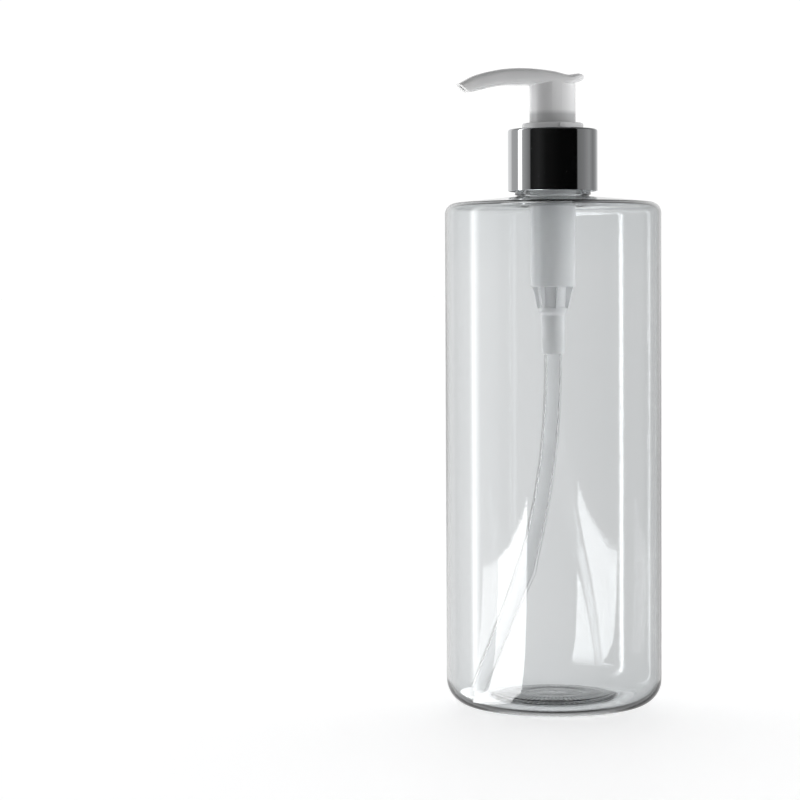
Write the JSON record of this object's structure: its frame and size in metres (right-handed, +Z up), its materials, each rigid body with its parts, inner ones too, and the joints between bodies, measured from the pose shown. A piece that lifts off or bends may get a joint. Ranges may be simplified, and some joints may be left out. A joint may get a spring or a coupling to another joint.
{
  "type": "pump oil bottle",
  "caption": "Clear cylindrical screw-neck bottle with a fitted lotion pump: white spout head, bright collar and a bent dip tube.",
  "frame": {"origin": "centre of the bottle's axis on the plane that the foot ring stands on", "axes": "+Z up the bottle's axis, -X along the spout, +Y to the left of someone looking along the spout from the tip"},
  "size_m": [0.068, 0.068, 0.2002],
  "materials": {
    "clear_pet": "clear, glossy",
    "white_pp": "satin gloss moulded",
    "natural_pp": "satin, slightly translucent",
    "bright_chrome": "mirror bright",
    "frosted_pe": "frosted translucent",
    "foam_pe": "matt foam sheet",
    "soft_pe": "soft matt",
    "stainless_steel": "bright drawn"
  },
  "bodies": {
    "bottle_body": {"bottle": "clear_pet"},
    "pump_core": {"housing": "natural_pp", "chaplet": "white_pp", "gasket": "foam_pe", "stem_seal": "soft_pe", "dip_tube": "frosted_pe", "spring": "stainless_steel"},
    "collar": {"closure": "white_pp", "collar_shell": "bright_chrome"},
    "plunger": {"piston_rod": "natural_pp"},
    "head": {"actuator": "white_pp", "stem": "natural_pp"},
    "piston_body": {"piston": "soft_pe"},
    "ball_body": {"inlet_ball": "stainless_steel"}
  },
  "joints": [
    {"name": "pump_lift", "type": "slide", "parent": "bottle_body", "child": "pump_core", "axis": [0, 0, 1], "range_m": [0, 0.00476]},
    {"name": "collar_turn", "type": "hinge", "parent": "pump_core", "child": "collar", "pos_m": [0, 0, 0.1716], "axis": [0, 0, 1], "range_deg": [0, 540]},
    {"name": "pump_stroke", "type": "slide", "parent": "pump_core", "child": "plunger", "axis": [0, 0, -1], "range_m": [0, 0.0112], "stiffness_N_per_m": 1200, "springref_m": -0.001, "deforming": ["spring"]},
    {"name": "head_turn", "type": "hinge", "parent": "plunger", "child": "head", "pos_m": [0, 0, 0.185], "axis": [0, 0, 1], "continuous": true},
    {"name": "piston_slip", "type": "slide", "parent": "plunger", "child": "piston_body", "axis": [0, 0, 1], "range_m": [0, 0.0015]},
    {"name": "ball_lift", "type": "slide", "parent": "pump_core", "child": "ball_body", "axis": [0, 0, 1], "range_m": [0, 0.0015]}
  ],
  "couplings": [
    {"joint": "collar_turn", "follows": "pump_lift", "rad_per_m": 1979}
  ]
}
